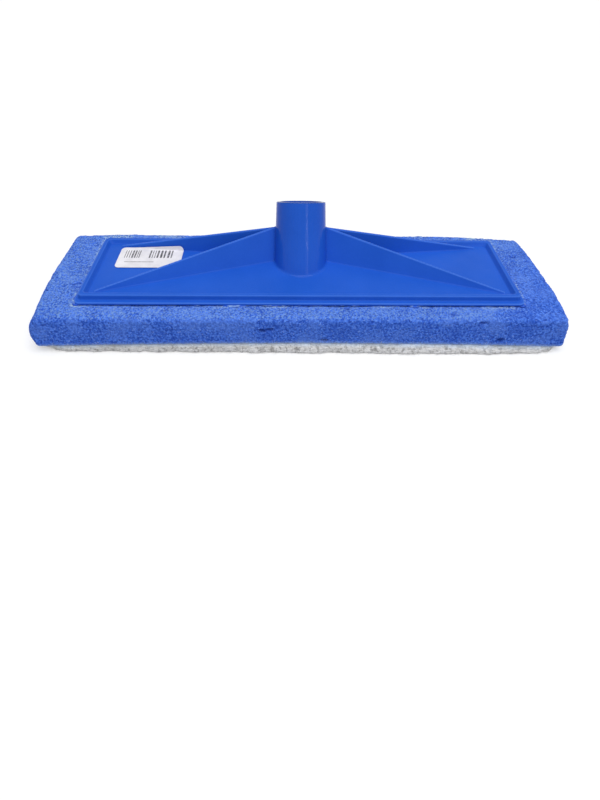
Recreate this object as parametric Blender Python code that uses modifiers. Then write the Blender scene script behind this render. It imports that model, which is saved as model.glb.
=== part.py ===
# Scouring pad mop head: a moulded plastic head glued on a sponge block with a scouring pad underneath.
# Metres, +Z up. The origin is the centre of the pad's working face, X runs along the head.

import math

import bmesh
import bpy
from mathutils import Matrix, Vector

# Clearance that separates two pieces that touch
GAP = 0.0003

# Sponge block
FOAM_LENGTH = 0.2862
FOAM_WIDTH = 0.0840
FOAM_THICKNESS = 0.0166
FOAM_CORNER = 0.0030
FOAM_TOP_EDGE = 0.0028
FOAM_BOTTOM_EDGE = 0.0010
FOAM_END_BULGE = 0.0016
FOAM_WIDEST_DEPTH = 0.0055
FOAM_FOOT_INSET = 0.0012

# Scouring pad, cut a little smaller than the sponge
PAD_END_INSET = 0.0026
PAD_SIDE_INSET = 0.00025
PAD_LENGTH = FOAM_LENGTH - 2 * PAD_END_INSET
PAD_WIDTH = FOAM_WIDTH - 2 * PAD_SIDE_INSET
PAD_THICKNESS = 0.0050
PAD_CORNER = 0.0060
PAD_EDGE = 0.0010

# Bonding film between pad and sponge
FILM_THICKNESS = 0.0002
FILM_INSET = 0.0015

# Glue layer under the head, squeezed out a little past the flange
GLUE_THICKNESS = 0.0004
GLUE_SQUEEZE = 0.0009

# Plastic head: flange, raised rim and the tray inside the rim
HEAD_OFFSET_Y = 0.0018
FLANGE_LENGTH = 0.2426
FLANGE_WIDTH = 0.0648
FLANGE_THICKNESS = 0.0011
FLANGE_CORNER = 0.0035
FLANGE_EDGE = 0.0004
SIDE_LEDGE_WIDTH = 0.0028
END_LEDGE_WIDTH = 0.0016
TRAY_THICKNESS = 0.0017
RIM_HEIGHT = 0.0023
RIM_WIDTH = 0.00215
RIM_CORNER = 0.0025
RIM_EDGE = 0.0005
RIM_DRAFT = 0.0004
TRAY_SLOPE = 0.0016
TRAY_CORNER = 0.0018

# Pole socket: a round tube that leans back, with its mouth cut nearly square to its axis
SOCKET_LEAN = math.radians(28.5)
SOCKET_MOUTH_TILT = math.radians(25.0)
SOCKET_MOUTH_BEHIND = 0.0254
SOCKET_MOUTH_HEIGHT = 0.0301
SOCKET_MOUTH_RADIUS = 0.01445
SOCKET_FOOT_RADIUS = 0.0153
SOCKET_BORE_RADIUS = 0.0118
SOCKET_BORE_DRAFT = 0.0003
SOCKET_FLOOR = 0.0020
SOCKET_FILLET = 0.0010
SOCKET_LIP = 0.0006
THREAD_PITCH = 0.0050
THREAD_DEPTH = 0.0009
THREAD_LENGTH = 0.0150
THREAD_START = 0.0030
THREAD_OPEN_WIDTH = 0.0042
THREAD_FLOOR_WIDTH = 0.0015
ROUND_STEPS = 48

# Four ribs from the socket's sides to the tray's corners, the two near ones hollow underneath
RIB_CREST_HEIGHT = 0.0169
RIB_TOP_WIDTH = 0.0016
RIB_END_HEIGHT = 0.0007
RIB_WALL = 0.0020
RIB_HOLLOW_LEAST = 0.0004
RIB_TOP_EDGE = 0.0005
RIB_ROOT_CLEAR = 0.0007
RIB_ROOT_SUNK = 0.0038
RIB_HOLLOW_START = 0.0035
RIB_HOLLOW_LENGTH = 0.0525
NEAR_RIB_FOOT_AHEAD = 0.0022
NEAR_RIB_END_INSET = 0.0051
NEAR_RIB_SIDE_INSET = 0.0040
FAR_RIB_FOOT_BEHIND = 0.0032
FAR_RIB_END_INSET = 0.0091
FAR_RIB_SIDE_INSET = 0.0042

# Price label on the left of the tray, its far edge bent up the rib
LABEL_WIDTH = 0.0372
LABEL_HEIGHT = 0.0212
LABEL_CORNER = 0.0025
LABEL_THICKNESS = 0.0002
LABEL_END_INSET = 0.0097
LABEL_SIDE_INSET = 0.0064

# Heights of the stack, from the floor up
FILM_Z = PAD_THICKNESS + GAP
FOAM_Z = FILM_Z + FILM_THICKNESS + GAP
FOAM_TOP_Z = FOAM_Z + FOAM_THICKNESS
GLUE_Z = FOAM_TOP_Z + GAP
HEAD_Z = GLUE_Z + GLUE_THICKNESS + GAP
LEDGE_Z = HEAD_Z + FLANGE_THICKNESS
TRAY_Z = HEAD_Z + TRAY_THICKNESS
RIM_Z = TRAY_Z + RIM_HEIGHT
SOCKET_MOUTH_Z = TRAY_Z + SOCKET_MOUTH_HEIGHT
RIB_CREST_Z = TRAY_Z + RIB_CREST_HEIGHT

# Places in plan that other pieces are set against
SOCKET_MOUTH_Y = HEAD_OFFSET_Y + SOCKET_MOUTH_BEHIND
RIM_END_X = FLANGE_LENGTH / 2 - END_LEDGE_WIDTH
RIM_HALF_WIDTH = FLANGE_WIDTH / 2 - SIDE_LEDGE_WIDTH
TRAY_END_X = RIM_END_X - RIM_DRAFT - RIM_WIDTH
TRAY_HALF_WIDTH = RIM_HALF_WIDTH - RIM_DRAFT - RIM_WIDTH
RIB_ROOT_X = SOCKET_FOOT_RADIUS + RIB_ROOT_CLEAR

# Extra wall in the slanted roof and front of a rib's hollow, as shares of the upright wall
RIB_ROOF_SHARE = 1.6
RIB_SLANT_SHARE = 1.15

# How far a piece is sunk into the one it is fused with, and the height of the rim's foot inside the flange
WELD = 0.0008
RIM_SUNK = 0.0005


def clear_scene():
    for obj in list(bpy.data.objects):
        bpy.data.objects.remove(obj, do_unlink=True)


def make_collection(name):
    collection = bpy.data.collections.new(name)
    bpy.context.scene.collection.children.link(collection)
    return collection


def make_material(name, colour, roughness, metallic=0.0):
    material = bpy.data.materials.new(name)
    material.use_nodes = True
    shader = material.node_tree.nodes["Principled BSDF"]
    shader.inputs["Base Color"].default_value = (*colour, 1.0)
    shader.inputs["Roughness"].default_value = roughness
    shader.inputs["Metallic"].default_value = metallic
    return material


def object_from_bmesh(bm, name, collection):
    mesh = bpy.data.meshes.new(name)
    bmesh.ops.recalc_face_normals(bm, faces=bm.faces)
    if bm.calc_volume(signed=True) < 0.0:
        bmesh.ops.reverse_faces(bm, faces=bm.faces)
    bm.to_mesh(mesh)
    bm.free()
    obj = bpy.data.objects.new(name, mesh)
    collection.objects.link(obj)
    return obj


def as_cutter(obj):
    obj.hide_render = True
    obj.display_type = "WIRE"
    return obj


def smooth(obj, degrees=35):
    obj.data.shade_smooth()
    obj.data.set_sharp_from_angle(angle=math.radians(degrees))


def bevel_edges(bm, edges, radius, segments):
    if radius > 0.0 and edges:
        bm.normal_update()
        bmesh.ops.bevel(bm, geom=edges, offset=radius, offset_type="OFFSET",
                        segments=segments, profile=0.5, affect="EDGES")


def upright_edges(bm, low, high):
    """Edges that join the lower face's height to the upper face's height."""
    middle = (low + high) / 2
    return [e for e in bm.edges if (e.verts[0].co.z - middle) * (e.verts[1].co.z - middle) < 0]


def edges_at_height(bm, height):
    bm.normal_update()
    return [e for e in bm.edges if all(abs(v.co.z - height) < 1e-6 for v in e.verts)
            and len({round(f.normal.z) for f in e.link_faces}) > 1]


def slab(length, width, low, high, corner, top_edge=0.0, bottom_edge=0.0, draft=0.0, centre_y=0.0, bulge=0.0,
         corner_steps=5, edge_steps=2, end_cuts=9):
    """A block with rounded corners in plan, rounded upper and lower edges, and ends that may swell."""
    bm = bmesh.new()
    bmesh.ops.create_cube(bm, size=1.0)
    for v in bm.verts:
        inset = draft if v.co.z > 0 else 0.0
        v.co.x *= length - 2 * inset
        v.co.y *= width - 2 * inset
        v.co.z = high if v.co.z > 0 else low
    if bulge > 0.0:
        across = [e for e in bm.edges if abs(e.verts[0].co.y - e.verts[1].co.y) > width / 2]
        bmesh.ops.subdivide_edges(bm, edges=across, cuts=end_cuts, use_grid_fill=True)
        for v in bm.verts:
            swell = bulge * (2 * v.co.y / width) ** 2
            v.co.x -= math.copysign(swell, v.co.x)
    corners = [e for e in upright_edges(bm, low, high)
               if all(abs(abs(v.co.y) - width / 2) < abs(draft) + 1e-6 for v in e.verts)]
    bevel_edges(bm, corners, corner, corner_steps)
    bevel_edges(bm, edges_at_height(bm, high), top_edge, edge_steps)
    bevel_edges(bm, edges_at_height(bm, low), bottom_edge, edge_steps)
    bmesh.ops.translate(bm, verts=bm.verts, vec=(0, centre_y, 0))
    return bm


def boolean(target, other, operation):
    modifier = target.modifiers.new(operation.lower(), "BOOLEAN")
    modifier.operation = operation
    modifier.solver = "EXACT"
    modifier.object = other


def turned(name, profile, collection):
    """A closed profile of (radius, height) points on the XZ plane, turned about Z by a Screw modifier."""
    mesh = bpy.data.meshes.new(name)
    points = [(radius, 0.0, height) for radius, height in profile]
    mesh.from_pydata(points, [(i, i + 1) for i in range(len(points) - 1)], [])
    obj = bpy.data.objects.new(name, mesh)
    collection.objects.link(obj)
    screw = obj.modifiers.new("turn", "SCREW")
    screw.axis = "Z"
    screw.steps = ROUND_STEPS
    screw.render_steps = ROUND_STEPS
    screw.use_merge_vertices = True
    screw.merge_threshold = 0.00001
    return obj


def baked(obj, matrix=None):
    """The object with its modifiers applied, and its mesh moved by a matrix that may shear it."""
    depsgraph = bpy.context.evaluated_depsgraph_get()
    mesh = bpy.data.meshes.new_from_object(obj.evaluated_get(depsgraph))
    if matrix is not None:
        mesh.transform(matrix)
    obj.modifiers.clear()
    obj.data = mesh
    return obj


def socket_axis_y(height):
    return SOCKET_MOUTH_Y - (SOCKET_MOUTH_Z - height) * math.tan(SOCKET_LEAN)


def lean_matrix():
    """Turns a round section about Z into the ellipse that a leaning tube has at each height."""
    shear = Matrix.Identity(4)
    shear[1][1] = 1.0 / math.cos(SOCKET_LEAN)
    shear[1][2] = math.tan(SOCKET_LEAN)
    shear[1][3] = socket_axis_y(0.0)
    return shear


def socket_radius(height):
    share = (height - TRAY_Z) / (SOCKET_MOUTH_Z - TRAY_Z)
    return SOCKET_FOOT_RADIUS + share * (SOCKET_MOUTH_RADIUS - SOCKET_FOOT_RADIUS)


def socket_outside(collection):
    """The tube's outside, from inside the flange to its slanted mouth, with a fillet round its foot."""
    top = SOCKET_MOUTH_Z + 2 * SOCKET_MOUTH_RADIUS * math.sin(SOCKET_LEAN)
    profile = [(0.0, top), (socket_radius(top), top)]
    for step in range(5):
        angle = math.radians(90.0 * step / 4)
        height = TRAY_Z + SOCKET_FILLET * (1 - math.sin(angle))
        profile.append((socket_radius(height) + SOCKET_FILLET * (1 - math.cos(angle)), height))
    foot = HEAD_Z + WELD / 2
    profile += [(socket_radius(TRAY_Z) + SOCKET_FILLET, foot), (0.0, foot)]
    obj = baked(turned("socket_outside", profile, collection), lean_matrix())
    bm = bmesh.new()
    bm.from_mesh(obj.data)
    facing = Vector((0, math.sin(SOCKET_MOUTH_TILT), math.cos(SOCKET_MOUTH_TILT)))
    mouth = Vector((0, SOCKET_MOUTH_Y, SOCKET_MOUTH_Z))
    cut = bmesh.ops.bisect_plane(bm, geom=bm.verts[:] + bm.edges[:] + bm.faces[:], plane_co=mouth, plane_no=facing,
                                 clear_outer=True)
    ring = [e for e in cut["geom_cut"] if isinstance(e, bmesh.types.BMEdge)]
    face = bmesh.ops.edgeloop_fill(bm, edges=ring)["faces"][0]
    bevel_edges(bm, list(face.edges), SOCKET_LIP, 2)
    bmesh.ops.recalc_face_normals(bm, faces=bm.faces)
    bm.to_mesh(obj.data)
    bm.free()
    return as_cutter(obj)


def socket_bore(collection):
    """The pole's bore, with its floor level with the tray and a screw thread cut in its wall."""
    top = SOCKET_MOUTH_Z + 3 * SOCKET_MOUTH_RADIUS * math.sin(SOCKET_LEAN)
    floor = HEAD_Z + SOCKET_FLOOR
    profile = [(0.0, top), (SOCKET_BORE_RADIUS + SOCKET_BORE_DRAFT, top), (SOCKET_BORE_RADIUS, floor), (0.0, floor)]
    return as_cutter(baked(turned("socket_bore", profile, collection), lean_matrix()))


def thread_groove(collection):
    """A helical groove round the bore, cut as one ribbon of trapezium section that runs out at both ends."""
    bm = bmesh.new()
    turns = THREAD_LENGTH / THREAD_PITCH
    steps = int(turns * ROUND_STEPS / 2)
    run_out_steps = ROUND_STEPS // 8
    inner = SOCKET_BORE_RADIUS - WELD
    wide, narrow = THREAD_OPEN_WIDTH / 2, THREAD_FLOOR_WIDTH / 2
    rings = []
    for step in range(steps + 1):
        angle = 2 * math.pi * turns * step / steps
        depth = -THREAD_START - THREAD_LENGTH + THREAD_PITCH * angle / (2 * math.pi)
        run_out = min(1.0, (step + 0.5) / run_out_steps, (steps - step + 0.5) / run_out_steps)
        outer = SOCKET_BORE_RADIUS + SOCKET_BORE_DRAFT + THREAD_DEPTH * run_out
        section = ((inner, -wide), (outer, -narrow), (outer, narrow), (inner, wide))
        rings.append([bm.verts.new((r * math.cos(angle), r * math.sin(angle), depth + z)) for r, z in section])
    for lower, upper in zip(rings, rings[1:]):
        for i in range(4):
            bm.faces.new((lower[i], lower[(i + 1) % 4], upper[(i + 1) % 4], upper[i]))
    bm.faces.new(rings[0])
    bm.faces.new(list(reversed(rings[-1])))
    place = Matrix.Translation((0, SOCKET_MOUTH_Y, SOCKET_MOUTH_Z)) @ Matrix.Rotation(-SOCKET_LEAN, 4, "X")
    bmesh.ops.transform(bm, matrix=place, verts=bm.verts)
    return as_cutter(object_from_bmesh(bm, "thread_groove", collection))


def along(start, end, x):
    """The Y of a straight line in plan, at a distance x from the middle of the head."""
    share = (x - start[0]) / (end[0] - start[0])
    return start[1] + share * (end[1] - start[1])


def rib_line(row, x):
    """Y of a rib's crest, Y of its front foot and height of its crest, at a distance x from the head's middle."""
    if row == "near":
        end_x = TRAY_END_X - NEAR_RIB_END_INSET
        end_y = HEAD_OFFSET_Y - TRAY_HALF_WIDTH + NEAR_RIB_SIDE_INSET
        root_y = socket_axis_y(TRAY_Z) - NEAR_RIB_FOOT_AHEAD
    else:
        end_x = TRAY_END_X - FAR_RIB_END_INSET
        end_y = HEAD_OFFSET_Y + TRAY_HALF_WIDTH - FAR_RIB_SIDE_INSET
        root_y = socket_axis_y(TRAY_Z) + FAR_RIB_FOOT_BEHIND
    crest_y = along((RIB_ROOT_X, socket_axis_y(RIB_CREST_Z)), (end_x, end_y), x)
    foot_y = along((RIB_ROOT_X, root_y), (end_x, end_y - RIB_TOP_WIDTH / 2), x)
    crest_z = along((RIB_ROOT_X, RIB_CREST_Z), (end_x, TRAY_Z + RIB_END_HEIGHT), x)
    return crest_y, foot_y, crest_z


def rib_sections(row, inner_x, outer_x, wall):
    """Four corners of a rib's section at its two ends: front foot, front top, back top, back foot."""
    sections = []
    for x in (inner_x, outer_x):
        crest_y, foot_y, crest_z = rib_line(row, x)
        top_z = crest_z - RIB_ROOF_SHARE * wall
        low_z = HEAD_Z + WELD / 2 if wall == 0.0 else HEAD_Z - WELD
        front = foot_y + RIB_SLANT_SHARE * wall
        back = crest_y + RIB_TOP_WIDTH / 2 - wall
        front_top = min(crest_y - RIB_TOP_WIDTH / 2 + wall, back - RIB_HOLLOW_LEAST)
        sections.append([(x, front, low_z), (x, front_top, top_z), (x, back, top_z), (x, back, low_z)])
    return sections


def rib_solid(name, side, row, collection, hollow=False):
    """One rib, or the hollow inside it, as a box whose corners are moved to the rib's two end sections."""
    if hollow:
        start = RIB_ROOT_X + RIB_HOLLOW_START
        sections = rib_sections(row, start, start + RIB_HOLLOW_LENGTH, RIB_WALL)
    else:
        inset = NEAR_RIB_END_INSET if row == "near" else FAR_RIB_END_INSET
        sections = rib_sections(row, SOCKET_BORE_RADIUS - RIB_ROOT_SUNK, TRAY_END_X - inset, 0.0)
    bm = bmesh.new()
    bmesh.ops.create_cube(bm, size=1.0)
    for v in bm.verts:
        section = sections[1] if v.co.x > 0 else sections[0]
        column = (1 if v.co.z > 0 else 0) if v.co.y < 0 else (2 if v.co.z > 0 else 3)
        x, y, z = section[column]
        v.co = Vector((side * x, y, z))
    if not hollow:
        long_top = [e for e in bm.edges if all(v.co.z > TRAY_Z for v in e.verts)
                    and abs(e.verts[0].co.x - e.verts[1].co.x) > SOCKET_BORE_RADIUS]
        bevel_edges(bm, long_top, RIB_TOP_EDGE, 2)
    bmesh.ops.triangulate(bm, faces=bm.faces)
    return as_cutter(object_from_bmesh(bm, name, collection))


def build_head(collection, cutters):
    bm = slab(FLANGE_LENGTH, FLANGE_WIDTH, HEAD_Z, LEDGE_Z, FLANGE_CORNER, top_edge=FLANGE_EDGE,
              centre_y=HEAD_OFFSET_Y)
    head = object_from_bmesh(bm, "plastic_head", collection)
    bm = slab(2 * RIM_END_X, 2 * RIM_HALF_WIDTH, HEAD_Z + RIM_SUNK, RIM_Z, RIM_CORNER, top_edge=RIM_EDGE,
              draft=RIM_DRAFT, centre_y=HEAD_OFFSET_Y)
    rim = as_cutter(object_from_bmesh(bm, "rim_block", cutters))
    slope = TRAY_SLOPE * (RIM_HEIGHT + WELD) / RIM_HEIGHT
    bm = slab(2 * (TRAY_END_X - TRAY_SLOPE), 2 * (TRAY_HALF_WIDTH - TRAY_SLOPE), TRAY_Z, RIM_Z + WELD, TRAY_CORNER,
              draft=-slope, centre_y=HEAD_OFFSET_Y)
    tray = as_cutter(object_from_bmesh(bm, "tray_pocket", cutters))
    boolean(head, rim, "UNION")
    boolean(head, tray, "DIFFERENCE")
    sides = ((-1, "left"), (1, "right"))
    for side, word in sides:
        for row in ("near", "far"):
            boolean(head, rib_solid("%s_rib_%s" % (row, word), side, row, cutters), "UNION")
    boolean(head, socket_outside(cutters), "UNION")
    for side, word in sides:
        boolean(head, rib_solid("near_hollow_" + word, side, "near", cutters, hollow=True), "DIFFERENCE")
    boolean(head, socket_bore(cutters), "DIFFERENCE")
    boolean(head, thread_groove(cutters), "DIFFERENCE")
    return head


def build_label(collection):
    """A thin sheet on the tray's floor whose far edge is folded up along the foot of the far left rib."""
    centre_x = -(TRAY_END_X - LABEL_END_INSET - LABEL_WIDTH / 2)
    centre_y = HEAD_OFFSET_Y + TRAY_HALF_WIDTH - LABEL_SIDE_INSET - LABEL_HEIGHT / 2
    floor = TRAY_Z + GAP
    bm = bmesh.new()
    bmesh.ops.create_grid(bm, x_segments=1, y_segments=1, size=0.5)
    for v in bm.verts:
        v.co = Vector((centre_x + v.co.x * LABEL_WIDTH, centre_y + v.co.y * LABEL_HEIGHT, floor))
    bmesh.ops.bevel(bm, geom=bm.verts[:], offset=LABEL_CORNER, segments=4, profile=0.5, affect="VERTICES")
    fold = [Vector((-x, rib_line("far", x)[1] - 2 * GAP, floor)) for x in (RIB_ROOT_X, TRAY_END_X - FAR_RIB_END_INSET)]
    line = (fold[0] - fold[1]).normalized()
    across = Vector((-line.y, line.x, 0.0))
    bmesh.ops.bisect_plane(bm, geom=bm.verts[:] + bm.edges[:] + bm.faces[:], plane_co=fold[1], plane_no=across)
    crest_y, foot_y, crest_z = rib_line("far", -centre_x)
    rise = math.atan2(crest_z - TRAY_Z, crest_y - RIB_TOP_WIDTH / 2 - foot_y)
    turn = Matrix.Translation(fold[1]) @ Matrix.Rotation(rise, 4, line) @ Matrix.Translation(-fold[1])
    raised = [v for v in bm.verts if (v.co - fold[1]).dot(across) > 1e-6]
    bmesh.ops.transform(bm, matrix=turn, verts=raised)
    label = object_from_bmesh(bm, "price_label", collection)
    thick = label.modifiers.new("paper", "SOLIDIFY")
    thick.thickness = LABEL_THICKNESS
    thick.offset = 1.0
    return label


def draw_in_foot(bm, foot, widest, inset):
    """Draws a block's ends in towards its foot along a curve that starts at its widest height."""
    steps = 4
    for step in range(1, steps + 1):
        height = foot + (widest - foot) * step / steps
        bmesh.ops.bisect_plane(bm, geom=bm.verts[:] + bm.edges[:] + bm.faces[:], plane_co=(0, 0, height),
                               plane_no=(0, 0, 1))
    for v in bm.verts:
        share = max(0.0, (widest - v.co.z) / (widest - foot))
        v.co.x -= math.copysign(inset * share ** 2, v.co.x)


def build_foam(collection):
    bm = slab(FOAM_LENGTH, FOAM_WIDTH, FOAM_Z, FOAM_TOP_Z, FOAM_CORNER, top_edge=FOAM_TOP_EDGE,
              bottom_edge=FOAM_BOTTOM_EDGE, bulge=FOAM_END_BULGE, corner_steps=6, edge_steps=4)
    draw_in_foot(bm, FOAM_Z, FOAM_TOP_Z - FOAM_WIDEST_DEPTH, FOAM_FOOT_INSET)
    return object_from_bmesh(bm, "foam_sponge", collection)


def build_pad(collection):
    bm = slab(PAD_LENGTH, PAD_WIDTH, 0.0, PAD_THICKNESS, PAD_CORNER, top_edge=PAD_EDGE, bottom_edge=PAD_EDGE,
              bulge=FOAM_END_BULGE, corner_steps=6)
    return object_from_bmesh(bm, "scouring_pad", collection)


def build_film(collection):
    bm = slab(PAD_LENGTH - 2 * FILM_INSET, PAD_WIDTH - 2 * FILM_INSET, FILM_Z, FILM_Z + FILM_THICKNESS,
              PAD_CORNER - FILM_INSET, bulge=FOAM_END_BULGE)
    return object_from_bmesh(bm, "pad_bonding_film", collection)


def build_glue(collection):
    bm = slab(FLANGE_LENGTH + 2 * GLUE_SQUEEZE, FLANGE_WIDTH + 2 * GLUE_SQUEEZE, GLUE_Z, GLUE_Z + GLUE_THICKNESS,
              FLANGE_CORNER + GLUE_SQUEEZE, centre_y=HEAD_OFFSET_Y)
    return object_from_bmesh(bm, "head_glue", collection)


def main():
    clear_scene()
    parts = make_collection("scouring_pad_mop")
    cutters = make_collection("cutters")
    pieces = (
        (build_head(parts, cutters), make_material("blue_plastic", (0.014, 0.105, 0.60), 0.32)),
        (build_glue(parts), make_material("clear_glue", (0.42, 0.55, 0.52), 0.25)),
        (build_foam(parts), make_material("blue_sponge", (0.085, 0.19, 0.60), 0.95)),
        (build_film(parts), make_material("bonding_film", (0.60, 0.62, 0.62), 0.60)),
        (build_pad(parts), make_material("white_scouring_fibre", (0.66, 0.66, 0.67), 0.95)),
        (build_label(parts), make_material("label_paper", (0.80, 0.80, 0.82), 0.55)),
    )
    for obj, material in pieces:
        obj.data.materials.append(material)
        smooth(obj)


main()
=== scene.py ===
# Scouring pad mop head: the looks of its plastic, sponge, pad, glue and label, in metres

import math

import bmesh
import bpy
import numpy as np
from mathutils import Matrix, Vector


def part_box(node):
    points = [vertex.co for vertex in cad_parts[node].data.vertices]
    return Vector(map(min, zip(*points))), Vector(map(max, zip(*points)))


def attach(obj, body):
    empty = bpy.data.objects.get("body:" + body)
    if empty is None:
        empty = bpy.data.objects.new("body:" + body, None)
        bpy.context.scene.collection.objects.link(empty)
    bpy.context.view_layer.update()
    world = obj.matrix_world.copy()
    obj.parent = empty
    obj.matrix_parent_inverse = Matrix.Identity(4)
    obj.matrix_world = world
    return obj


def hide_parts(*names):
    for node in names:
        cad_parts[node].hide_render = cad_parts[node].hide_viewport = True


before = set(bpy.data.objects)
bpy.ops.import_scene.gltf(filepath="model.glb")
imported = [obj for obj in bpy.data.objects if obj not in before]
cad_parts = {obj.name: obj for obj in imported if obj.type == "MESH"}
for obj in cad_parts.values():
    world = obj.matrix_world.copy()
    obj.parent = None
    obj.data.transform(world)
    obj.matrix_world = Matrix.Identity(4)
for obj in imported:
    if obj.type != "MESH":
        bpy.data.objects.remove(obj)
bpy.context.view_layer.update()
HALF_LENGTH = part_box("foam_sponge")[1].x
MM = 0.001

# Camera, from the photograph's perspective, with a sensor that spans the picture's longer side
CAMERA_PLACE = Vector((-0.00998, -0.25935, 0.20461))
CAMERA_TURN = math.radians(2.105)
CAMERA_PITCH = math.radians(35.28)
CAMERA_ROLL = math.radians(1.493)
IMAGE_HEIGHT = 800.0
FOCAL_PIXELS = 545.58
CENTRE_ROW = 275.97
SENSOR = 36.0
NEAREST_SEEN = 0.01
FARTHEST_SEEN = 20.0

# Light: an even surround and a wide soft sun that light a level face fully, and two small lamps for gloss
WORLD_LIGHT = 0.35
SUN_LIGHT = 0.65
SUN_SPREAD = math.radians(60)
SUN_FROM = (0.14, -0.25, 1.0)
SUN_TARGET = (0.0, 0.0, 0.0)
SPOT_PLACE = (0.0, -0.05, 0.55)
SPOT_TARGET = (0.0, 0.0, 0.03)
SPOT_SIZE = 0.02
SPOT_WATTS = 0.12
STRIP_PLACE = (0.365, -0.627, 0.35)
STRIP_TARGET = (0.0, 0.0, 0.04)
STRIP_WIDTH = 0.016
STRIP_HEIGHT = 0.30
STRIP_WATTS = 0.28

# Floor: half its width, its own colour, and the glow that makes it white where it is seen
FLOOR_HALF = 6.0
FLOOR_COLOUR = (0.62, 0.62, 0.62, 1.0)
FLOOR_LIFT = 0.42
WHITE = (1.0, 1.0, 1.0, 1.0)

# Size of the cells that each piece is remeshed in, and the share of the plastic's faces that is kept
PLASTIC_VOXEL = 0.0003
PLASTIC_KEPT = 0.25
SPONGE_VOXEL = 0.00065
PAD_VOXEL = 0.0006

# Seam between pad and sponge: its height in the middle, its drop at the ends, and half the gap at it
SEAM_MIDDLE = 0.0060
SEAM_DROP = 0.0025
SEAM_HALF_GAP = 0.00012

# Film in the seam: half its thickness, its round corners, and the points along a corner and the middle
FILM_HALF_THICKNESS = 0.00005
FILM_CORNER = 0.0045
FILM_CORNER_STEPS = 8
FILM_STATIONS = 41

# How many smoothing steps give the plastic's plain form, and how far off it a full crease or ridge lies
FORM_STEPS = 10
FULL_CREASE = 0.00014

# Pole socket, which is polished where the plate round it is dull: its mouth, lean and reach from its axis
SOCKET_MOUTH = (0.0, 0.0272, 0.0552)
SOCKET_LEAN = math.radians(28.5)
SOCKET_REACH = (0.0150, 0.0170)
# Tilt of the mouth's plane and reach of the mark that puts painted shade on the socket's mouth
SOCKET_MOUTH_TILT = math.radians(25.0)
MOUTH_REACH = (-0.0007, -0.0001)

# Low crown of the sponge outside the head's box: its height, and where its rise starts and ends
SPONGE_CROWN = 0.0006
CROWN_RISE = (-0.0008, 0.0012)

# Where the sponge's skin is rough: off the seam, and either outside the head's box or below the top
ROUGH_OFF_SEAM = (0.0, 0.06)
ROUGH_OUTSIDE = (-0.003, -0.001)
SMOOTH_TOP = (0.8, 0.9)

# Smears of glue on the sponge: near its top, near the head's box, and in patches of one size
SMEAR_NEAR_TOP = (0.7, 0.9)
SMEAR_REACH = (0.0008, 0.0026)
SMEAR_SIZE = 0.011
SMEAR_SEED = 33
SMEAR_FADE = (0.1, 0.7)

# Torn pits in the sponge: number, radii, depths and stretch along the head, and how steep their walls are
SMALL_PITS = dict(count=600, seed=5, radii=(0.0007, 0.0011), depths=(0.0002, 0.0006), stretch=1.0)
LONG_PITS = dict(count=75, seed=6, radii=(0.0009, 0.0015), depths=(0.0012, 0.0022), stretch=2.0)
PIT_WALL = 0.7

# Torn edge of the pad: its width, how far down its foot starts, and the share of tearing above the foot
TORN_EDGE = 0.006
FOOT_START = 0.3
TORN_ABOVE_FOOT = 0.35

# Marks on the pad and sponge: how far from the seam each is tinted, and where the pad's foot gets painted
# shade
SPONGE_FADE = 0.0029
PAD_FADE = 0.0019
PAD_FOOT = 0.0011
PAD_FOOT_EDGE = (0.6, 0.8)

# Layers of noise for the surfaces and for the lumps of glue: height, size and seed of each
SPONGE_GRAIN = ((0.00035, 0.022, 1), (0.00015, 0.0035, 2), (0.00025, 0.0014, 3))
PAD_GRAIN = ((0.00020, 0.0035, 11), (0.00022, 0.0013, 12))
PAD_TEARS = ((0.0007, 0.0085, 13),)
PAD_FRAYS = ((0.0004, 0.003, 14),)
BEAD_LUMPS = ((1.0, 0.012, 31), (0.6, 0.004, 32))

# How places are scaled so that the tears in the pad's edge are drawn out upright
TEAR_STRETCH = (1, 1, 0.3)

# Loose fibres of the pad: their seed and form
FIBRE_SEED = 21
FIBRE_SIDES = 3
FIBRE_SEGMENTS = 3
FIBRE_RADIUS = 0.00006
FIBRE_TAPER = 0.6
FIBRE_LENGTHS = (0.0012, 0.0036)
FIBRE_SWAY = (-1.2, 1.2)
FIBRE_LIFT = (-0.5, 0.9)

# Loose fibres of the pad: how many grow on its sides, working face and seam, and where each of those is
SIDE_FIBRES = 4200
FACE_FIBRES = 2600
SEAM_FIBRES = 2800
SIDE_STEEPNESS = 0.75
FACE_FLATNESS = 0.9
SIDE_BELOW_SEAM = 0.0006
SEAM_BAND = 0.0012

# How much the fibres at the seam lean outward and upward
SEAM_FIBRES_OUT = 0.25
SEAM_FIBRES_UP = 1.3

# Glue: how far sheet and bead lie inside the CAD outline, the outline's corner radius, and point spacing
GLUE_SHEET_INSET = 0.0014
GLUE_LINE_INSET = 0.0013
GLUE_CORNER = 0.0044
GLUE_SPACING = 0.0009

# Glue bead: its least width, what a lump and a near corner add to it, and its height
BEAD_SIDES = 8
BEAD_LEAST = 0.0002
BEAD_LUMP = 0.0016
LUMP_START = 0.40
BEAD_AT_CORNER = 0.0011
BEAD_SLOPE = 0.28
BEAD_BASE = 0.00010
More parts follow.
